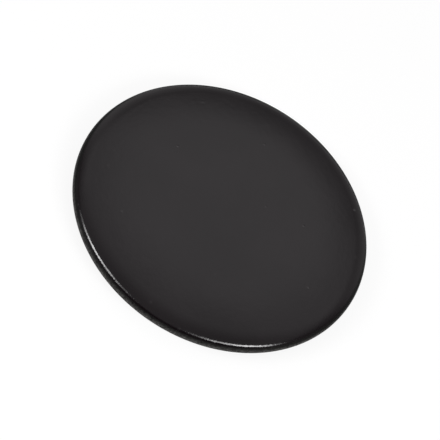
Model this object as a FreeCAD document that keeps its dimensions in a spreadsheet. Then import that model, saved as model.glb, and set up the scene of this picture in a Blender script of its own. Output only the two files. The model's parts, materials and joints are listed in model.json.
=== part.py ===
import FreeCAD
import Part
import Sketcher

import math
import os
from enum import IntEnum

# Gas burner cap, one steel disc: a flat top with a gentle crown that rolls off into a tight shoulder, a
# short upright rim, a flat seat underneath and, inside it, the ring that keeps the cap centred on its
# burner. The ring's hollow is open downwards. The foot of the ring stands on z = 0 and the cap is round
# about +Z.

# Driving sizes in millimetres, and ring_draft in degrees.
SIZES = {
    "cap_diameter": 100.0,         # over the rim
    "crown_width": 21.0,           # from the rim in to the edge of the flat top
    "crown_radius": 150.0,         # of the gentle fall outside the flat top
    "roll_width": 5.6,             # from the rim in to where the fall turns into the roll-off
    "roll_radius": 11.0,           # of the roll-off
    "shoulder_radius": 2.9,        # between the roll-off and the rim
    "rim_height": 0.6,             # from the seat up to the shoulder
    "rim_edge_radius": 0.4,        # along the lower edge of the rim
    "ring_outer_diameter": 72.0,   # the upright wall that centres the cap
    "ring_height": 4.0,            # from the seat down to the foot of the ring
    "ring_foot_width": 2.4,        # across the foot, before its edges are bevelled
    "ring_draft": 6.0,             # lean of the hollow's wall, wider at the foot
    "ring_tip_bevel": 0.5,         # on both edges of the foot, so that the ring drops in easily
    "ring_root_bevel": 0.6,        # where the ring meets the seat
    "recess_depth": 1.4,           # from the seat up to the ceiling of the hollow
    "recess_corner_bevel": 1.2,    # round the ceiling of the hollow
}

NODE = "burner_cap"
FULL_TURN = 360.0
PLACE_TOLERANCE = 1e-4

# The two kinds of edge feature, and the property that holds the size of each.
ROUND = "PartDesign::Fillet"
BEVEL = "PartDesign::Chamfer"
EDGE_SIZE = {ROUND: "Radius", BEVEL: "Size"}


class Ref(IntEnum):
    """Numbers by which constraints know the ends of a line or arc, and a sketch's own origin and axis."""

    START = 1
    END = 2
    ORIGIN = -1
    VERTICAL_AXIS = -2


def fill_sheet(doc):
    """Write the driving sizes into a spreadsheet, each cell under its own alias."""
    sheet = doc.addObject("Spreadsheet::Sheet", "Sizes")
    for row, (alias, value) in enumerate(SIZES.items(), start=1):
        sheet.set(f"A{row}", alias)
        sheet.set(f"B{row}", str(value))
        sheet.setAlias(f"B{row}", alias)
    doc.recompute()


def origin_plane(body, role):
    """The body's own origin plane with the given role."""
    return next(plane for plane in body.Origin.OriginFeatures if plane.Role == role)


def section_sketch(body, name):
    """An empty sketch on the upright plane through the axis: its x is the radius, its y the height."""
    sketch = body.newObject("Sketcher::SketchObject", name)
    sketch.AttachmentSupport = [(origin_plane(body, "XZ_Plane"), "")]
    sketch.MapMode = "FlatFace"
    return sketch


def add_lines(sketch, points):
    """Add the straight runs between neighbouring points, and return their numbers."""
    ends = [FreeCAD.Vector(radius, height, 0) for radius, height in points]
    return [sketch.addGeometry(Part.LineSegment(a, b), False) for a, b in zip(ends, ends[1:])]


def add_arc(sketch, centre, radius, start_angle, end_angle):
    """Add an arc that runs anticlockwise between two angles in radians, and return its number."""
    circle = Part.Circle(FreeCAD.Vector(*centre, 0), FreeCAD.Vector(0, 0, 1), radius)
    return sketch.addGeometry(Part.ArcOfCircle(circle, start_angle, end_angle), False)


def join(sketch, first, second):
    """Let one run end where the next one starts."""
    sketch.addConstraint(Sketcher.Constraint("Coincident", first, Ref.END, second, Ref.START))


def bind(sketch, kind, places, name, formula):
    """Add a named dimension whose value is a formula on the sheet's cells."""
    value = sketch.evalExpression(formula)
    index = sketch.addConstraint(Sketcher.Constraint(kind, *places, value))
    sketch.renameConstraint(index, name)
    sketch.setExpression(f"Constraints.{name}", formula)


def turn(body, kind, name, sketch):
    """Turn a section about the cap's axis, as added or removed material."""
    feature = body.newObject(kind, name)
    feature.Profile = sketch
    feature.ReferenceAxis = (sketch, ["V_Axis"])
    feature.Angle = FULL_TURN
    body.Document.recompute()
    return feature


def point_along(centre, radius, lean):
    """The point at a distance from a centre, on a line that leans outwards from the vertical."""
    return centre[0] + radius * math.sin(lean), centre[1] + radius * math.cos(lean)


def disc_section(body):
    """Half section of the disc: flat top, crown, roll-off and shoulder, all tangent, then rim and seat."""
    rim = SIZES["cap_diameter"] / 2
    seat = SIZES["ring_height"]
    crown = SIZES["crown_radius"]
    roll = SIZES["roll_radius"]
    shoulder = SIZES["shoulder_radius"]

    # How far the surface leans where the crown meets the roll-off, and where that meets the shoulder.
    crown_lean = math.asin((SIZES["crown_width"] - SIZES["roll_width"]) / crown)
    roll_reach = SIZES["roll_width"] - shoulder + roll * math.sin(crown_lean)
    roll_lean = math.asin(roll_reach / (roll - shoulder))

    # Arcs that touch have their centres on one line, so each centre follows from the one below it.
    shoulder_centre = (rim - shoulder, seat + SIZES["rim_height"])
    roll_centre = point_along(shoulder_centre, shoulder - roll, roll_lean)
    crown_centre = point_along(roll_centre, roll - crown, crown_lean)
    flat = crown_centre[0]
    top = crown_centre[1] + crown

    sketch = section_sketch(body, "DiscSection")
    upright = math.pi / 2
    face, = add_lines(sketch, [(0, top), (flat, top)])
    crown_arc = add_arc(sketch, crown_centre, crown, upright - crown_lean, upright)
    roll_arc = add_arc(sketch, roll_centre, roll, upright - roll_lean, upright - crown_lean)
    shoulder_arc = add_arc(sketch, shoulder_centre, shoulder, 0, upright - roll_lean)
    corners = [(rim, shoulder_centre[1]), (rim, seat), (0, seat), (0, top)]
    rim_wall, underside, axis = add_lines(sketch, corners)

    sketch.addConstraint([
        Sketcher.Constraint("Horizontal", face),
        Sketcher.Constraint("Vertical", rim_wall),
        Sketcher.Constraint("Horizontal", underside),
        Sketcher.Constraint("PointOnObject", axis, Ref.START, Ref.VERTICAL_AXIS),
        Sketcher.Constraint("PointOnObject", axis, Ref.END, Ref.VERTICAL_AXIS),
        Sketcher.Constraint("Tangent", face, Ref.END, crown_arc, Ref.END),
        Sketcher.Constraint("Tangent", crown_arc, Ref.START, roll_arc, Ref.END),
        Sketcher.Constraint("Tangent", roll_arc, Ref.START, shoulder_arc, Ref.END),
        Sketcher.Constraint("Tangent", shoulder_arc, Ref.START, rim_wall, Ref.START),
    ])
    join(sketch, rim_wall, underside)
    join(sketch, underside, axis)
    join(sketch, axis, face)
    bind(sketch, "DistanceX", (Ref.ORIGIN, Ref.START, rim_wall, Ref.END), "RimRadius",
         "Sizes.cap_diameter / 2")
    bind(sketch, "DistanceY", (Ref.ORIGIN, Ref.START, axis, Ref.START), "SeatHeight", "Sizes.ring_height")
    bind(sketch, "DistanceY", (rim_wall, Ref.END, rim_wall, Ref.START), "RimHeight", "Sizes.rim_height")
    bind(sketch, "DistanceX", (face, Ref.END, rim_wall, Ref.START), "CrownWidth", "Sizes.crown_width")
    bind(sketch, "DistanceX", (crown_arc, Ref.START, rim_wall, Ref.START), "RollWidth", "Sizes.roll_width")
    bind(sketch, "Radius", (crown_arc,), "CrownRadius", "Sizes.crown_radius")
    bind(sketch, "Radius", (roll_arc,), "RollRadius", "Sizes.roll_radius")
    bind(sketch, "Radius", (shoulder_arc,), "ShoulderRadius", "Sizes.shoulder_radius")
    return sketch


def boss_section(body):
    """Half section of the round boss under the seat, which the hollow turns into the ring."""
    wall = SIZES["ring_outer_diameter"] / 2
    height = SIZES["ring_height"]

    sketch = section_sketch(body, "BossSection")
    foot, side, root, axis = add_lines(sketch, [(0, 0), (wall, 0), (wall, height), (0, height), (0, 0)])
    sketch.addConstraint([
        Sketcher.Constraint("Coincident", foot, Ref.START, Ref.ORIGIN, Ref.START),
        Sketcher.Constraint("Horizontal", foot),
        Sketcher.Constraint("Vertical", side),
        Sketcher.Constraint("Horizontal", root),
        Sketcher.Constraint("PointOnObject", axis, Ref.START, Ref.VERTICAL_AXIS),
    ])
    join(sketch, foot, side)
    join(sketch, side, root)
    join(sketch, root, axis)
    join(sketch, axis, foot)
    bind(sketch, "DistanceX", (foot, Ref.START, foot, Ref.END), "WallRadius",
         "Sizes.ring_outer_diameter / 2")
    bind(sketch, "DistanceY", (side, Ref.START, side, Ref.END), "Height", "Sizes.ring_height")
    return sketch


def hollow_radii():
    """Radius of the hollow at the foot of the ring and at its ceiling."""
    foot = SIZES["ring_outer_diameter"] / 2 - SIZES["ring_foot_width"]
    depth = SIZES["ring_height"] + SIZES["recess_depth"]
    return foot, foot - depth * math.tan(math.radians(SIZES["ring_draft"]))


def hollow_section(body):
    """Half section of the hollow inside the ring, with a leaning wall and a flat ceiling above the seat."""
    foot_radius, ceiling_radius = hollow_radii()
    depth = SIZES["ring_height"] + SIZES["recess_depth"]

    sketch = section_sketch(body, "HollowSection")
    corners = [(0, 0), (foot_radius, 0), (ceiling_radius, depth), (0, depth), (0, 0)]
    mouth, side, ceiling, axis = add_lines(sketch, corners)
    sketch.addConstraint([
        Sketcher.Constraint("Coincident", mouth, Ref.START, Ref.ORIGIN, Ref.START),
        Sketcher.Constraint("Horizontal", mouth),
        Sketcher.Constraint("Horizontal", ceiling),
        Sketcher.Constraint("PointOnObject", axis, Ref.START, Ref.VERTICAL_AXIS),
    ])
    join(sketch, mouth, side)
    join(sketch, side, ceiling)
    join(sketch, ceiling, axis)
    join(sketch, axis, mouth)
    bind(sketch, "DistanceX", (mouth, Ref.START, mouth, Ref.END), "MouthRadius",
         "Sizes.ring_outer_diameter / 2 - Sizes.ring_foot_width")
    bind(sketch, "DistanceY", (side, Ref.START, side, Ref.END), "Depth",
         "Sizes.ring_height + Sizes.recess_depth")
    bind(sketch, "Angle", (axis, Ref.END, side, Ref.START), "Lean", "Sizes.ring_draft * 1 deg")
    return sketch


def circle_edges(shape, circles):
    """Names of the shape's circular edges with the given (radius, height) pairs."""
    names = []
    for radius, height in circles:
        found = [
            f"Edge{number}"
            for number, edge in enumerate(shape.Edges, start=1)
            if isinstance(edge.Curve, Part.Circle)
            and abs(edge.Curve.Radius - radius) < PLACE_TOLERANCE
            and abs(edge.Curve.Center.z - height) < PLACE_TOLERANCE
        ]
        if len(found) != 1:
            raise RuntimeError(f"{len(found)} edges of radius {radius} at height {height}")
        names += found
    return names


def dress_edges(body, kind, name, circles, size):
    """Round or bevel circular edges of the body's last feature by a size from the sheet."""
    base = body.Tip
    feature = body.newObject(kind, name)
    feature.Base = (base, circle_edges(base.Shape, circles))
    feature.setExpression(EDGE_SIZE[kind], f"Sizes.{size}")
    body.Document.recompute()


def make_cap(doc):
    """The whole cap as one body: disc, boss, hollow, rounded rim edge and bevelled ring."""
    body = doc.addObject("PartDesign::Body", "BurnerCap")
    body.Label = NODE
    body.Placement = FreeCAD.Placement(FreeCAD.Vector(0, 0, 0), FreeCAD.Rotation())

    turn(body, "PartDesign::Revolution", "Disc", disc_section(body))
    boss = turn(body, "PartDesign::Revolution", "Boss", boss_section(body))
    hollow = turn(body, "PartDesign::Groove", "Hollow", hollow_section(body))
    if hollow.Shape.Volume >= boss.Shape.Volume:
        raise RuntimeError("the hollow takes nothing out of the boss")

    rim = SIZES["cap_diameter"] / 2
    wall = SIZES["ring_outer_diameter"] / 2
    seat = SIZES["ring_height"]
    ceiling = seat + SIZES["recess_depth"]
    foot_radius, ceiling_radius = hollow_radii()
    foot_edges = [(wall, 0), (foot_radius, 0)]
    dress_edges(body, ROUND, "RimEdge", [(rim, seat)], "rim_edge_radius")
    dress_edges(body, BEVEL, "RingRoot", [(wall, seat)], "ring_root_bevel")
    dress_edges(body, BEVEL, "RecessCorner", [(ceiling_radius, ceiling)], "recess_corner_bevel")
    dress_edges(body, BEVEL, "RingTip", foot_edges, "ring_tip_bevel")
    return body


def check(doc, body):
    """Stop if any object failed, any sketch is loose, or the cap is not one valid solid."""
    for item in doc.Objects:
        if "Invalid" in item.State or "Error" in item.State:
            raise RuntimeError(f"{item.Name} failed: {item.State}")
        if item.isDerivedFrom("Sketcher::SketchObject") and not item.FullyConstrained:
            raise RuntimeError(f"{item.Name} is not fully constrained")
    if body.Shape.isNull() or not body.Shape.isValid() or len(body.Shape.Solids) != 1:
        raise RuntimeError(f"{body.Label} is not one valid solid")


def main():
    """Build the cap, check it and write its shape."""
    doc = FreeCAD.newDocument("GasBurnerCap")
    fill_sheet(doc)
    cap = make_cap(doc)
    doc.recompute()
    check(doc, cap)
    os.makedirs("parts", exist_ok=True)
    cap.Shape.exportStep(f"parts/{cap.Label}.step")
    box = cap.Shape.optimalBoundingBox()
    size = f"{box.XLength:.2f} x {box.YLength:.2f} x {box.ZLength:.2f} mm"
    print(f"{cap.Label}: {size}, {cap.Shape.Volume:.0f} mm3")


main()
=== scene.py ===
"""A gas burner cap in black enamel, on a pale floor under soft studio light.

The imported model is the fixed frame. The cap is turned again here from one fine section, so that its
rounds reflect cleanly, and it stands in for the plain node. Lengths are in metres and angles in degrees,
but the enamel's pattern is measured in millimetres.
"""
import json
import logging
import math
from dataclasses import dataclass, field
from enum import Enum
from typing import Any, Optional, Union

import bpy
from mathutils import Matrix, Quaternion, Vector


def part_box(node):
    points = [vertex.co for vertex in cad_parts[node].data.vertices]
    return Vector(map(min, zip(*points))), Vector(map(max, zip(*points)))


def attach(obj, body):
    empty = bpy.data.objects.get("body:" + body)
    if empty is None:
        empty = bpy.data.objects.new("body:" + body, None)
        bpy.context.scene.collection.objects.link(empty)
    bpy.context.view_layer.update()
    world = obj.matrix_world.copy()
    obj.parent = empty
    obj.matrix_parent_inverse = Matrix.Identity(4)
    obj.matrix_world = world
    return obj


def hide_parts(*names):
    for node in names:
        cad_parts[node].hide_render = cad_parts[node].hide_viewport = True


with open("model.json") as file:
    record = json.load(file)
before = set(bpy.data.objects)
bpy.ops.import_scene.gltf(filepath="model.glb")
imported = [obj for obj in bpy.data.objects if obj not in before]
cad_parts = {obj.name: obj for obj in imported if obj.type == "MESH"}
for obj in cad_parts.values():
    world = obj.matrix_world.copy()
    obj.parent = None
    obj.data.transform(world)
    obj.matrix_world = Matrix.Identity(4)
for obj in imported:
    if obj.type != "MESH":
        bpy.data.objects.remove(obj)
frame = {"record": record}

MM = 0.001
PICTURE_WIDTH = 440
SENSOR_WIDTH = 36.0
MERGE_DISTANCE = 1e-6
PEN_START_SIZE = 1.0 * MM
NOISE_MEAN = 0.5
# Power of an area lamp for each square metre of it and each unit of its radiance.
LAMP_POWER = 4.0

Colour = tuple[float, float, float]
Place = tuple[float, float, float]

log = logging.getLogger("burner_cap")


class Lean(float, Enum):
    """Which way the section's outline is heading, in degrees turned down from straight outwards."""

    OUTWARDS = 0.0
    DOWN = 90.0
    INWARDS = 180.0
    UP = 270.0


def opaque(colour: Colour) -> tuple[float, float, float, float]:
    """The colour with full cover, as a colour socket takes it."""
    return (*colour, 1.0)


class Value:
    """A number that varies over a surface: a socket with arithmetic that adds Math nodes."""

    def __init__(self, tree: "FinishTree", socket: bpy.types.NodeSocket) -> None:
        """Keeps the tree that new nodes go into and the socket that holds the number."""
        self.tree = tree
        self.socket = socket

    def _math(self, operation: str, first: "Number", second: "Number") -> "Value":
        """Adds one Math node.

        Args:
            operation: the Math node's operation.
            first: its first number.
            second: its second number.

        Returns:
            The node's result.
        """
        return self.tree.value("ShaderNodeMath", {"operation": operation}, {0: first, 1: second})

    def __add__(self, other: "Number") -> "Value":
        """The sum of this and another number."""
        return self._math("ADD", self, other)

    def __radd__(self, other: "Number") -> "Value":
        """The sum of another number and this."""
        return self._math("ADD", other, self)

    def __sub__(self, other: "Number") -> "Value":
        """This number less another."""
        return self._math("SUBTRACT", self, other)

    def __rsub__(self, other: "Number") -> "Value":
        """Another number less this."""
        return self._math("SUBTRACT", other, self)

    def __mul__(self, other: "Number") -> "Value":
        """This number times another."""
        return self._math("MULTIPLY", self, other)

    def __rmul__(self, other: "Number") -> "Value":
        """Another number times this."""
        return self._math("MULTIPLY", other, self)


Number = Union[float, Value]


class FinishTree:
    """The nodes of one material or of the world."""

    def __init__(self, owner: Union[bpy.types.Material, bpy.types.World]) -> None:
        """Starts from an empty tree.

        Args:
            owner: the material or world that the tree belongs to.
        """
        owner.use_nodes = True
        self.nodes = owner.node_tree.nodes
        self.links = owner.node_tree.links
        self.nodes.clear()

    def node(self, kind: str, settings: dict[str, Any], sockets: dict[Any, Any]) -> bpy.types.Node:
        """Adds one node.

        Args:
            kind: the node's type.
            settings: its properties, which are set first.
            sockets: what goes into its inputs, by name or number: a plain value, a Value or a socket.

        Returns:
            The new node.
        """
        made = self.nodes.new(kind)
        for name, setting in settings.items():
            setattr(made, name, setting)
        for name, content in sockets.items():
            entry = self.entry(made, name)
            if isinstance(content, Value):
                self.links.new(content.socket, entry)
            elif isinstance(content, bpy.types.NodeSocket):
                self.links.new(content, entry)
            else:
                entry.default_value = content
        return made

    @staticmethod
    def entry(made: bpy.types.Node, name: Union[int, str]) -> bpy.types.NodeSocket:
        """Finds one of a node's inputs.

        Args:
            made: the node.
            name: the input's number, identifier or name.

        Returns:
            The input.
        """
        if isinstance(name, int):
            return made.inputs[name]
        by_identifier = [socket for socket in made.inputs if socket.identifier == name]
        return by_identifier[0] if by_identifier else made.inputs[name]

    def value(self, kind: str, settings: dict[str, Any], sockets: dict[Any, Any]) -> Value:
        """Adds one node and wraps its first output as a number.

        Args:
            kind: the node's type.
            settings: its properties.
            sockets: what goes into its inputs.

        Returns:
            The first output.
        """
        return Value(self, self.node(kind, settings, sockets).outputs[0])

    def noise(self, place: bpy.types.NodeSocket, size: float, detail: float, seed: float = 0.0) -> Value:
        """Adds soft noise.

        Args:
            place: the coordinates that it is read at.
            size: how wide a blotch is, in the same unit.
            detail: how many finer layers it has.
            seed: which of many patterns it shows.

        Returns:
            The noise, from 0 to 1 about a mean of one half.
        """
        sockets = {"Vector": place, "W": seed, "Scale": 1.0 / size, "Detail": detail}
        return self.value("ShaderNodeTexNoise", {"noise_dimensions": "4D"}, sockets)

    def ramp(self, number: Number, start: float, end: float) -> Value:
        """Adds a smooth step.

        Args:
            number: what is measured.
            start: where the step begins, which may lie above its end.
            end: where the step is complete.

        Returns:
            0 before the start, 1 past the end and a smooth rise between.
        """
        sockets = {"Value": number, "From Min": start, "From Max": end}
        return self.value("ShaderNodeMapRange", {"interpolation_type": "SMOOTHSTEP"}, sockets)

    def bump(
        self, height: Number, distance: float, base: Optional[bpy.types.NodeSocket] = None
    ) -> bpy.types.NodeSocket:
        """Raises the surface.

        Args:
            height: how far each point is raised, from 0 to 1.
            distance: the rise at a height of 1, in metres.
            base: the normal that it starts from, where that is already rippled.

        Returns:
            The new normal.
        """
        sockets = {"Height": height, "Distance": distance}
        if base is not None:
            sockets["Normal"] = base
        return self.node("ShaderNodeBump", {}, sockets).outputs[0]

    def blend(self, factor: Number, first: Any, second: Any) -> bpy.types.NodeSocket:
        """Mixes two colours.

        Args:
            factor: 0 for the first colour and 1 for the second.
            first: a colour or a colour socket.
            second: a colour or a colour socket.

        Returns:
            The mixed colour.
        """
        colours = [opaque(colour) if isinstance(colour, tuple) else colour for colour in (first, second)]
        sockets = {"Factor_Float": factor, "A_Color": colours[0], "B_Color": colours[1]}
        made = self.node("ShaderNodeMix", {"data_type": "RGBA"}, sockets)
        return next(socket for socket in made.outputs if socket.identifier == "Result_Color")

    def blend_normals(
        self, factor: Number, first: bpy.types.NodeSocket, second: bpy.types.NodeSocket
    ) -> bpy.types.NodeSocket:
        """Mixes two normals.

        Args:
            factor: 0 for the first normal and 1 for the second.
            first: a normal.
            second: a normal.

        Returns:
            The mixed normal.
        """
        sockets = {"Factor_Float": factor, "A_Vector": first, "B_Vector": second}
        made = self.node("ShaderNodeMix", {"data_type": "VECTOR"}, sockets)
        return next(socket for socket in made.outputs if socket.identifier == "Result_Vector")


@dataclass(frozen=True)
class CoatZones:
    """Where each coat lies: from 0 to 1 for below the shoulder, for the rim's painted floor reflection, and
    under the cap.
    """

    low: Value
    worn: Value
    under: Value


@dataclass(frozen=True)
class Coat:
    """How one coat looks."""

    colour: bpy.types.NodeSocket
    roughness: Value
    normal: bpy.types.NodeSocket
    ior: float


@dataclass(frozen=True)
class Climb:
    """A rise of the thin coat's upper edge between two depths, from -1 in front to 1 at the back."""

    start: float
    end: float
    lift: float


@dataclass(frozen=True)
class BlackEnamel:
    """Fired black enamel: a glassy coat with a fine orange peel, thin and dull below the shoulder.

    Sizes, spacings, lifts and insets are in millimetres, and so are edges, which are measured up from the
    seat. What ends in height is the rise of a bump, in metres. A pair says where a smooth step starts and
    where it is complete.
    """

    name: str = "black_enamel"
    deep: Colour = (0.0024, 0.0010, 0.0017)
    pale: Colour = (0.0060, 0.0041, 0.0050)
    cloud_size: float = 26.0
    cloud_detail: float = 3.0
    cloud_seed: float = 240.0
    cloud_limits: tuple[float, float] = (0.3, 0.7)
    roughness: float = 0.13
    roughness_spread: float = 0.04
    glass_ior: float = 1.5
    peel_size: float = 1.6
    peel_height: float = 30e-6
    grain_size: float = 0.5
    grain_height: float = 28e-6
    ripple_detail: float = 1.0
    dust: Colour = (0.034, 0.0315, 0.0325)
    dust_spacing: float = 12.0
    dust_radius: float = 0.75
    dust_height: float = 70e-6
    dull_deep: Colour = (0.004, 0.0039, 0.0037)
    # Painted reflection of the floor: the grey that the rim pales to towards its lower edge.
    painted_reflection_grey: Colour = (0.172, 0.168, 0.1627)
    dull_roughness: float = 0.5
    dull_ior: float = 1.1
    dull_edge: tuple[float, float] = (2.5, 2.0)
    dull_climbs: tuple[Climb, ...] = (Climb(-0.9, 0.0, 0.8), Climb(0.45, 1.05, 0.6))
    # Painted floor reflection on the rim: the heights over which it grows, and its least share.
    worn_edge: tuple[float, float] = (2.4, 0.5)
    worn_least: float = 0.03
    blotch_size: float = 0.7
    blotch_limits: tuple[float, float] = (0.13, 1.07)
    pit_size: float = 0.6
    pit_height: float = 60e-6
    pit_detail: float = 2.0
    underside_deep: Colour = (0.016, 0.0146, 0.0149)
    underside_pale: Colour = (0.045, 0.0412, 0.042)
    underside_roughness: float = 0.45
    underside_inset: tuple[float, float] = (0.3, 1.2)
    underside_edge: tuple[float, float] = (2.3, 1.6)

    def make(self, sizes: "CapSizes") -> bpy.types.Material:
        """Makes the material.

        Args:
            sizes: the cap's sizes, which say where its rim and underside are.

        Returns:
            The finished material.
        """
        material = bpy.data.materials.new(self.name)
        tree = FinishTree(material)
        place = tree.node("ShaderNodeTexCoord", {}, {}).outputs["Object"]
        to_mm = {0: place, "Scale": 1.0 / MM}
        place_mm = tree.node("ShaderNodeVectorMath", {"operation": "SCALE"}, to_mm).outputs[0]
        zones = self.zones(tree, place_mm, sizes)
        glassy = self.glassy_coat(tree, place_mm)
        dull = self.dull_coat(tree, place_mm, zones)
        # Both shaders share one roughness and one normal, so that either of them carries the whole surface.
        shared = {
            "Roughness": glassy.roughness + (dull.roughness - glassy.roughness) * zones.low * zones.low,
            "Normal": tree.blend_normals(zones.low, glassy.normal, dull.normal),
        }
        shaders: dict[int, Any] = {0: zones.low}
        for number, coat in enumerate((glassy, dull), start=1):
            sockets = {"Base Color": coat.colour, "IOR": coat.ior, **shared}
            shaders[number] = tree.node("ShaderNodeBsdfPrincipled", {}, sockets).outputs[0]
        mixed = tree.node("ShaderNodeMixShader", {}, shaders)
        tree.node("ShaderNodeOutputMaterial", {}, {"Surface": mixed.outputs[0]})
        return material

    def glassy_coat(self, tree: FinishTree, place_mm: bpy.types.NodeSocket) -> Coat:
        """Makes the coat of the top: nearly even black, with an orange peel and a little dust in it.

        Args:
            tree: the nodes to add to.
            place_mm: object coordinates in millimetres.

        Returns:
            How the coat looks.
        """
        cloud = tree.noise(place_mm, self.cloud_size, self.cloud_detail, self.cloud_seed)
        black = tree.blend(tree.ramp(cloud, *self.cloud_limits), self.deep, self.pale)
        specks = self.specks(tree, place_mm)
        fine = tree.noise(place_mm, self.grain_size, self.ripple_detail)
        grain = tree.bump(fine, self.grain_height)
        coarse = tree.noise(place_mm, self.peel_size, self.ripple_detail)
        peel = tree.bump(coarse, self.peel_height, grain)
        return Coat(
            colour=tree.blend(specks, black, self.dust),
            roughness=self.roughness + (cloud - NOISE_MEAN) * self.roughness_spread,
            normal=tree.bump(specks, self.dust_height, peel),
            ior=self.glass_ior,
        )

    def specks(self, tree: FinishTree, place_mm: bpy.types.NodeSocket) -> Value:
        """Scatters specks of dust over the top, most of them faint and a few of them plainer.

        Args:
            tree: the nodes to add to.
            place_mm: object coordinates in millimetres.

        Returns:
            0 between the specks and up to 1 in the middle of each.
        """
        sockets = {"Vector": place_mm, "Scale": 1.0 / self.dust_spacing}
        cells = tree.node("ShaderNodeTexVoronoi", {"voronoi_dimensions": "2D"}, sockets)
        reach = self.dust_radius / self.dust_spacing
        speck = tree.ramp(Value(tree, cells.outputs["Distance"]), reach, 0.0)
        strength = tree.value("ShaderNodeSeparateColor", {}, {0: cells.outputs["Color"]})
        faint = strength * strength
        return speck * faint * faint

    def dull_coat(self, tree: FinishTree, place_mm: bpy.types.NodeSocket, zones: CoatZones) -> Coat:
        """Makes the thin pitted coat of the rim, grey with a painted reflection of the floor, and of the
        mottled grey-black underside.

        Args:
            tree: the nodes to add to.
            place_mm: object coordinates in millimetres.
            zones: where the underside is and how strong the painted floor reflection on the rim is.

        Returns:
            How the coat looks.
        """
        blotch = tree.ramp(tree.noise(place_mm, self.blotch_size, self.pit_detail), *self.blotch_limits)
        # Painted reflection of the floor: the rim grows paler towards its lower edge, mottled by the
        # blotches.
        rim = tree.blend(blotch * zones.worn, self.dull_deep, self.painted_reflection_grey)
        underside = tree.blend(blotch, self.underside_deep, self.underside_pale)
        roughness_change = self.underside_roughness - self.dull_roughness
        return Coat(
            colour=tree.blend(zones.under, rim, underside),
            roughness=self.dull_roughness + zones.under * roughness_change,
            normal=tree.bump(tree.noise(place_mm, self.pit_size, self.pit_detail), self.pit_height),
            ior=self.dull_ior,
        )

    def zones(self, tree: FinishTree, place_mm: bpy.types.NodeSocket, sizes: "CapSizes") -> CoatZones:
        """Finds the low rim, the painted floor reflection that pales its lower edge, and the surfaces
        inside it, under the cap.

        Args:
            tree: the nodes to add to.
            place_mm: object coordinates in millimetres.
            sizes: the cap's sizes.

        Returns:
            Where each coat lies.
        """
        split = tree.node("ShaderNodeSeparateXYZ", {}, {0: place_mm})
        height = Value(tree, split.outputs["Z"])
        flat = tree.node("ShaderNodeCombineXYZ", {}, {"X": split.outputs["X"], "Y": split.outputs["Y"]})
        length = tree.node("ShaderNodeVectorMath", {"operation": "LENGTH"}, {0: flat.outputs[0]})
        from_axis = Value(tree, length.outputs["Value"])
        seat = sizes.seat / MM
        rim = sizes.rim_radius / MM
        depth = Value(tree, split.outputs["Y"]) * (1.0 / rim)
        above = height
        for climb in self.dull_climbs:
            above = above - tree.ramp(depth, climb.start, climb.end) * climb.lift
        low = tree.ramp(above, *(seat + edge for edge in self.dull_edge))
        # Painted floor reflection: none high on the shoulder, full at the rim's lower edge.
        worn = tree.ramp(height, *(seat + edge for edge in self.worn_edge))
        worn = self.worn_least + worn * (1.0 - self.worn_least)
        inside = tree.ramp(from_axis, *(rim - inset for inset in self.underside_inset))
        below = tree.ramp(height, *(seat + edge for edge in self.underside_edge))
        return CoatZones(low, worn, inside * below)


@dataclass(frozen=True)
class PaleFloor:
    """White floor: its lit part shows as white, and the cap's shadow stays on it."""

    name: str = "pale_floor"
    albedo: float = 0.8
    seen_albedo: float = 0.15
    seen_glow: float = 0.86

    def make(self) -> bpy.types.Material:
        """Makes the material: plain white for the light it passes on, and a white field where it is seen.

        Returns:
            The finished material.
        """
        material = bpy.data.materials.new(self.name)
        tree = FinishTree(material)
        path = tree.node("ShaderNodeLightPath", {}, {})
        seen = Value(tree, path.outputs["Is Camera Ray"])
        seen = seen + Value(tree, path.outputs["Is Glossy Ray"])
        seen = seen + Value(tree, path.outputs["Is Transmission Ray"])
        plain = tree.node("ShaderNodeBsdfDiffuse", {}, {"Color": opaque((self.albedo,) * 3)})
        dim = tree.node("ShaderNodeBsdfDiffuse", {}, {"Color": opaque((self.seen_albedo,) * 3)})
        glow = tree.node("ShaderNodeEmission", {}, {"Strength": self.seen_glow})
        white = tree.node("ShaderNodeAddShader", {}, {0: dim.outputs[0], 1: glow.outputs[0]})
        shaders = {0: seen, 1: plain.outputs[0], 2: white.outputs[0]}
        mixed = tree.node("ShaderNodeMixShader", {}, shaders)
        tree.node("ShaderNodeOutputMaterial", {}, {"Surface": mixed.outputs[0]})
        return material


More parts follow.
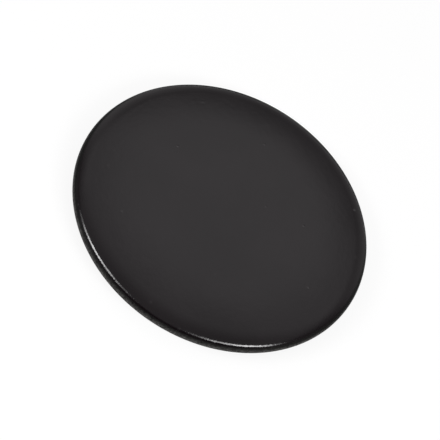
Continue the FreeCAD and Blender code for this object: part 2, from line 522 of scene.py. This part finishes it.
@dataclass(frozen=True)
class CapSizes:
    """The cap's sizes: those of the frame, and the section's own widths, radii and bevels."""

    rim_radius: float
    top: float
    seat: float
    ring_radius: float
    ring_foot_width: float
    crown_width: float = 21.0 * MM
    crown_radius: float = 150.0 * MM
    roll_width: float = 5.6 * MM
    roll_radius: float = 11.0 * MM
    shoulder_radius: float = 2.9 * MM
    rim_edge_radius: float = 0.4 * MM
    ring_draft: float = 6.0
    ring_tip_bevel: float = 0.5 * MM
    ring_root_bevel: float = 0.6 * MM
    recess_depth: float = 1.4 * MM
    recess_corner_bevel: float = 1.2 * MM

    @classmethod
    def from_frame(cls, node: str, record: dict[str, Any]) -> "CapSizes":
        """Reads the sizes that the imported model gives.

        Args:
            node: the cap's node.
            record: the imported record, whose mounts place the ring and the flat that rests on the burner.

        Returns:
            The cap's sizes.
        """
        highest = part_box(node)[1]
        mounts = {mount["name"]: mount for mount in record["mounts"]}
        ring_radius = mounts["locating_ring"]["dims"]["r_mm"] * MM
        foot_middle = mounts["ring_foot"]["pos_m"][0]
        return cls(
            rim_radius=highest.x,
            top=highest.z,
            seat=mounts["burner_seat"]["pos_m"][2],
            ring_radius=ring_radius,
            ring_foot_width=2.0 * (ring_radius - foot_middle),
        )

    @property
    def ceiling(self) -> float:
        """Height of the hollow's flat ceiling."""
        return self.seat + self.recess_depth

    @property
    def crown_lean(self) -> float:
        """How far the crown has turned down where the roll begins."""
        return math.degrees(math.asin((self.crown_width - self.roll_width) / self.crown_radius))

    @property
    def roll_lean(self) -> float:
        """Works out how far the roll has turned down where it meets the shoulder.

        Returns:
            The angle at which the two rounds are tangent.
        """
        roll_centre = self.rim_radius - self.roll_width
        roll_centre -= self.roll_radius * math.sin(math.radians(self.crown_lean))
        across = self.rim_radius - self.shoulder_radius - roll_centre
        return math.degrees(math.asin(across / (self.roll_radius - self.shoulder_radius)))


@dataclass(frozen=True)
class SectionSteps:
    """How many edges each stretch of the section has."""

    flat: int = 12
    crown: int = 12
    roll: int = 16
    shoulder: int = 24
    rim: int = 3
    rim_edge: int = 14
    seat: int = 10
    ring_side: int = 4
    ring_foot: int = 3
    hollow_side: int = 6
    ceiling: int = 12


class SectionPen:
    """Draws a section in the XZ plane by extruding and spinning its end vertex."""

    def __init__(self, start: Vector, name: str) -> None:
        """Adds a small plane and shrinks it to the one vertex that the outline starts from.

        Args:
            start: where the outline starts.
            name: the new object's name.
        """
        bpy.ops.object.select_all(action="DESELECT")
        bpy.ops.mesh.primitive_plane_add(size=PEN_START_SIZE, location=(0.0, 0.0, 0.0))
        self.piece = bpy.context.active_object
        self.piece.name = name
        self.piece.data.name = name
        bpy.ops.object.mode_set(mode="EDIT")
        bpy.ops.mesh.select_mode(type="VERT")
        bpy.ops.mesh.select_all(action="SELECT")
        bpy.ops.mesh.merge(type="CENTER")
        bpy.ops.transform.translate(value=start)
        self.point = start.copy()
        self.lean: float = Lean.OUTWARDS

    def heading(self) -> Vector:
        """The unit vector along which the outline is heading."""
        turn = math.radians(self.lean)
        return Vector((math.cos(turn), 0.0, -math.sin(turn)))

    def run(self, length: float, steps: int = 1) -> None:
        """Draws a straight stretch.

        Args:
            length: how long it is.
            steps: how many equal edges it has.
        """
        move = self.heading() * (length / steps)
        for _ in range(steps):
            bpy.ops.mesh.extrude_region_move(TRANSFORM_OT_translate={"value": move})
        self.point += move * steps

    def run_to_radius(self, radius: float, steps: int) -> None:
        """Runs straight on until the outline is that far from the axis."""
        self.run((radius - self.point.x) / self.heading().x, steps)

    def run_to_height(self, height: float, steps: int) -> None:
        """Runs straight on until the outline is at that height."""
        self.run((height - self.point.z) / self.heading().z, steps)

    def bend(self, radius: float, lean: float, steps: int) -> None:
        """Draws a round stretch that starts along the heading.

        Args:
            radius: the round's radius.
            lean: the heading at its end, larger on an outer round and smaller in an inner corner.
            steps: how many equal edges it has.
        """
        side = math.copysign(1.0, lean - self.lean)
        ahead = self.heading()
        centre = self.point + Vector((ahead.z, 0.0, -ahead.x)) * (radius * side)
        angle = math.radians(lean - self.lean)
        # The spin operator turns the other way from a rotation matrix.
        bpy.ops.mesh.spin(steps=steps, angle=-angle, center=centre, axis=(0.0, 1.0, 0.0))
        self.point = centre + Matrix.Rotation(angle, 3, "Y") @ (self.point - centre)
        self.lean = lean

    def bevel(self, back: float, lean: float) -> None:
        """Cuts off the corner at which the outline turns to a new heading.

        Args:
            back: how far from the corner the cut starts and ends.
            lean: the heading past the corner.
        """
        half = (lean - self.lean) / 2.0
        self.lean += half
        self.run(2.0 * back * math.cos(math.radians(half)))
        self.lean = lean

    def turn_round_axis(self, steps: int) -> bpy.types.Object:
        """Spins the finished section about the upright axis and closes the seam and the two middles.

        Args:
            steps: how many sides the round has.

        Returns:
            The closed round piece, in object mode.
        """
        bpy.ops.mesh.select_all(action="SELECT")
        bpy.ops.mesh.spin(steps=steps, angle=2.0 * math.pi, center=(0.0, 0.0, 0.0), axis=(0.0, 0.0, 1.0))
        bpy.ops.mesh.select_all(action="SELECT")
        bpy.ops.mesh.remove_doubles(threshold=MERGE_DISTANCE)
        bpy.ops.mesh.normals_make_consistent(inside=False)
        bpy.ops.object.mode_set(mode="OBJECT")
        return self.piece


@dataclass
class BurnerCap:
    """The cap: a crowned disc with a rolled edge and a rim, over a flat seat and a locating ring."""

    sizes: CapSizes
    finish: BlackEnamel
    node: str = "burner_cap"
    name: str = "enamelled_cap"
    steps: SectionSteps = field(default_factory=SectionSteps)
    sides: int = 240
    corner_softness: float = 0.15 * MM
    corner_angle: float = 30.0
    corner_steps: int = 3
    smooth_angle: float = 35.0

    def build(self) -> bpy.types.Object:
        """Turns the cap, coats it and puts it in the node's place.

        Returns:
            The finished cap.
        """
        pen = SectionPen(Vector((0.0, 0.0, self.sizes.top)), self.name)
        self.draw_top(pen)
        self.draw_rim(pen)
        self.draw_ring(pen)
        self.draw_hollow(pen)
        piece = pen.turn_round_axis(self.sides)
        self.soften_corners(piece)
        bpy.ops.object.shade_smooth_by_angle(angle=math.radians(self.smooth_angle))
        piece.data.materials.append(self.finish.make(self.sizes))
        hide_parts(self.node)
        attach(piece, "root")
        return piece

    def draw_top(self, pen: SectionPen) -> None:
        """Draws the flat middle, the crown and the roll that leads down to the shoulder.

        Args:
            pen: the pen, at the middle of the top.
        """
        sizes = self.sizes
        pen.run_to_radius(sizes.rim_radius - sizes.crown_width, self.steps.flat)
        pen.bend(sizes.crown_radius, sizes.crown_lean, self.steps.crown)
        pen.bend(sizes.roll_radius, sizes.roll_lean, self.steps.roll)

    def draw_rim(self, pen: SectionPen) -> None:
        """Draws the shoulder, the upright rim and its rounded lower edge.

        Args:
            pen: the pen, at the end of the roll.
        """
        sizes = self.sizes
        pen.bend(sizes.shoulder_radius, Lean.DOWN, self.steps.shoulder)
        pen.run_to_height(sizes.seat + sizes.rim_edge_radius, self.steps.rim)
        pen.bend(sizes.rim_edge_radius, Lean.INWARDS, self.steps.rim_edge)

    def draw_ring(self, pen: SectionPen) -> None:
        """Draws the flat seat and the locating ring's outer side and foot.

        Args:
            pen: the pen, at the rim's lower edge.
        """
        sizes = self.sizes
        pen.run_to_radius(sizes.ring_radius + sizes.ring_root_bevel, self.steps.seat)
        pen.bevel(sizes.ring_root_bevel, Lean.DOWN)
        pen.run_to_height(sizes.ring_tip_bevel, self.steps.ring_side)
        pen.bevel(sizes.ring_tip_bevel, Lean.INWARDS)
        foot_end = sizes.ring_radius - sizes.ring_foot_width + sizes.ring_tip_bevel
        pen.run_to_radius(foot_end, self.steps.ring_foot)

    def draw_hollow(self, pen: SectionPen) -> None:
        """Draws the hollow's drafted side, its bevelled corner and its flat ceiling.

        Args:
            pen: the pen, at the inner end of the ring's foot.
        """
        sizes = self.sizes
        upright_part = math.cos(math.radians(sizes.ring_draft))
        pen.bevel(sizes.ring_tip_bevel, Lean.UP - sizes.ring_draft)
        side_end = sizes.ceiling - sizes.recess_corner_bevel * upright_part
        pen.run_to_height(side_end, self.steps.hollow_side)
        pen.bevel(sizes.recess_corner_bevel, Lean.INWARDS)
        pen.run_to_radius(0.0, self.steps.ceiling)

    def soften_corners(self, piece: bpy.types.Object) -> None:
        """Rounds the corners of the ring's bevels, as a fired coat does.

        Args:
            piece: the turned cap, which is the active object.
        """
        bpy.ops.object.modifier_add(type="BEVEL")
        modifier = piece.modifiers[-1]
        modifier.limit_method = "ANGLE"
        modifier.angle_limit = math.radians(self.corner_angle)
        modifier.width = self.corner_softness
        modifier.segments = self.corner_steps
        bpy.ops.object.modifier_apply(modifier=modifier.name)


@dataclass(frozen=True)
class Lamp:
    """One rectangular soft box that faces the cap, turned about its middle by a tilt.

    The azimuth is 0 in front of the cap, on the camera's side, and grows to the right.
    """

    name: str
    azimuth: float
    elevation: float
    distance: float
    width: float
    height: float
    radiance: float
    tilt: float

    def build(self, aim: Vector) -> bpy.types.Object:
        """Adds the lamp.

        Args:
            aim: the point that it faces.

        Returns:
            The lamp's object.
        """
        turn = math.radians(self.azimuth)
        rise = math.radians(self.elevation)
        away = Vector((math.sin(turn) * math.cos(rise), -math.cos(turn) * math.cos(rise), math.sin(rise)))
        bpy.ops.object.light_add(type="AREA", location=aim + away * self.distance)
        lamp = bpy.context.active_object
        lamp.name = self.name
        facing = away.to_track_quat("Z", "Y")
        lamp.rotation_euler = (facing @ Quaternion((0.0, 0.0, 1.0), math.radians(self.tilt))).to_euler()
        lamp.data.shape = "RECTANGLE"
        lamp.data.size = self.width
        lamp.data.size_y = self.height
        lamp.data.energy = LAMP_POWER * self.width * self.height * self.radiance
        return lamp


@dataclass(frozen=True)
class Room:
    """The dim light of the room, darkest low behind the camera and brightest in a patch behind the cap.

    The near half lies behind the camera and the far half behind the cap. Each has its light at the
    horizon and overhead, the elevations between which the one grows to the other, and what its left and
    right sides add. The depth says where near gives way to far, and the side pull moves that border back
    at the sides. The patch is added to both: its azimuth is 0 behind the cap, and its reach is from its
    middle to its edge.
    """

    tint: Colour = (1.0, 0.972, 0.986)
    near_low: float = 0.02
    near_high: float = 0.307
    near_rise: tuple[float, float] = (30.0, 50.0)
    near_sides: tuple[float, float] = (0.23, 0.125)
    far_low: float = 0.28
    far_high: float = 0.573
    far_rise: tuple[float, float] = (35.0, 50.0)
    far_sides: tuple[float, float] = (0.87, 0.21)
    depth: tuple[float, float] = (-0.40, 0.47)
    side_pull: float = 0.9
    patch: float = 0.25
    patch_azimuth: float = -2.0
    patch_elevation: float = 51.5
    patch_reach: float = 16.5

    def build(self) -> None:
        """Makes the world and gives it to the scene."""
        world = bpy.data.worlds.new("room")
        tree = FinishTree(world)
        direction = tree.node("ShaderNodeTexCoord", {}, {}).outputs["Generated"]
        split = tree.node("ShaderNodeSeparateXYZ", {}, {0: direction})
        side = Value(tree, split.outputs["X"])
        depth = Value(tree, split.outputs["Y"])
        height = Value(tree, split.outputs["Z"])
        near = self.level(tree, height, self.near_low, self.near_high, self.near_rise)
        near = near + self.side_light(side, *self.near_sides)
        far = self.level(tree, height, self.far_low, self.far_high, self.far_rise)
        far = far + self.side_light(side, *self.far_sides)
        back = tree.ramp(depth - side * side * self.side_pull, *self.depth)
        strength = near + (far - near) * back + self.patch_light(tree, direction)
        glow = tree.node("ShaderNodeBackground", {}, {"Color": opaque(self.tint), "Strength": strength})
        tree.node("ShaderNodeOutputWorld", {}, {"Surface": glow.outputs[0]})
        bpy.context.scene.world = world

    @staticmethod
    def level(
        tree: FinishTree, height: Value, low: float, high: float, rise: tuple[float, float]
    ) -> Value:
        """Grows the light from the horizon up.

        Args:
            tree: the nodes to add to.
            height: the upward part of the direction.
            low: the light at the horizon.
            high: the light overhead.
            rise: the elevations between which it grows.

        Returns:
            The light in that direction.
        """
        start, end = (math.sin(math.radians(angle)) for angle in rise)
        return tree.ramp(height, start, end) * (high - low) + low

    @staticmethod
    def side_light(side: Value, left: float, right: float) -> Value:
        """Adds the light that comes from the two sides.

        Args:
            side: the sideways part of the direction, negative to the left.
            left: the light straight to the left.
            right: the light straight to the right.

        Returns:
            The added light in that direction.
        """
        return side * side * ((left + right) / 2.0 + side * ((right - left) / 2.0))

    def patch_light(self, tree: FinishTree, direction: bpy.types.NodeSocket) -> Value:
        """Adds the light of the soft patch.

        Args:
            tree: the nodes to add to.
            direction: the direction that is looked in.

        Returns:
            The added light in that direction.
        """
        turn = math.radians(self.patch_azimuth)
        lift = math.radians(self.patch_elevation)
        middle = (math.sin(turn) * math.cos(lift), math.cos(turn) * math.cos(lift), math.sin(lift))
        towards = {0: direction, 1: middle}
        closeness = tree.node("ShaderNodeVectorMath", {"operation": "DOT_PRODUCT"}, towards)
        edge = math.cos(math.radians(self.patch_reach))
        return tree.ramp(Value(tree, closeness.outputs["Value"]), edge, 1.0) * self.patch


@dataclass(frozen=True)
class View:
    """The camera, turned about its own axis so that the cap leans across the picture."""

    distance: float = 0.400
    elevation: float = 51.797
    roll: float = 33.393
    focal_pixels: float = 1260.7
    aim: Place = (0.323 * MM, -5.665 * MM, 7.0 * MM)
    nearest: float = 0.01

    def build(self) -> bpy.types.Object:
        """Adds the camera and makes it the scene's own.

        Returns:
            The camera's object.
        """
        rise = math.radians(self.elevation)
        away = Vector((0.0, -math.cos(rise), math.sin(rise)))
        bpy.ops.object.camera_add(location=Vector(self.aim) + away * self.distance)
        camera = bpy.context.active_object
        camera.name = "camera"
        # In this order the roll about the line of sight comes before the tilt.
        camera.rotation_mode = "ZYX"
        camera.rotation_euler = (math.pi / 2.0 - rise, 0.0, math.radians(self.roll))
        camera.data.sensor_width = SENSOR_WIDTH
        camera.data.lens = self.focal_pixels * SENSOR_WIDTH / PICTURE_WIDTH
        camera.data.clip_start = self.nearest
        bpy.context.scene.camera = camera
        return camera


@dataclass
class Studio:
    """The pale floor, the soft lamps, the room's dim light and the camera."""

    floor: PaleFloor = field(default_factory=PaleFloor)
    floor_size: float = 8.0
    view: View = field(default_factory=View)
    room: Room = field(default_factory=Room)
    aim: Place = (0.0, 0.0, 8.0 * MM)
    # Each lamp's name, azimuth, elevation, distance, width, height, radiance and tilt.
    lamps: tuple[Lamp, ...] = (
        Lamp("left_outer", -53.1, 35.5, 1.00, 0.90, 0.24, 1.4, 25.0),
        Lamp("left_middle", -54.1, 35.0, 0.99, 0.57, 0.24, 5.1, 25.0),
        Lamp("left_core", -56.0, 34.5, 0.98, 0.23, 0.24, 6.4, 25.0),
        Lamp("right_outer", 56.0, 37.0, 1.00, 0.86, 0.24, 1.6, -25.0),
        Lamp("right_middle", 57.5, 36.5, 0.99, 0.58, 0.24, 5.0, -25.0),
        Lamp("right_core", 62.4, 35.0, 0.98, 0.26, 0.24, 6.6, -25.0),
    )

    def build(self) -> None:
        """Sets up everything round the cap."""
        self.lay_floor()
        for lamp in self.lamps:
            lamp.build(Vector(self.aim))
            log.info("lamp %s", lamp.name)
        self.room.build()
        self.view.build()
        bpy.context.scene.view_settings.view_transform = "Standard"

    def lay_floor(self) -> None:
        """Lays the floor that the cap stands on."""
        bpy.ops.object.select_all(action="DESELECT")
        bpy.ops.mesh.primitive_plane_add(size=self.floor_size, location=(0.0, 0.0, 0.0))
        floor = bpy.context.active_object
        floor.name = "floor"
        floor.data.materials.append(self.floor.make())
        log.info("floor")


def main() -> None:
    """Builds the cap and the studio round it."""
    logging.basicConfig(level=logging.INFO, format="%(name)s: %(message)s")
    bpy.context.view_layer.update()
    sizes = CapSizes.from_frame(BurnerCap.node, frame["record"])
    cap = BurnerCap(sizes, BlackEnamel()).build()
    log.info("piece %s, %d faces", cap.name, len(cap.data.polygons))
    Studio().build()


if __name__ == "__main__":
    main()
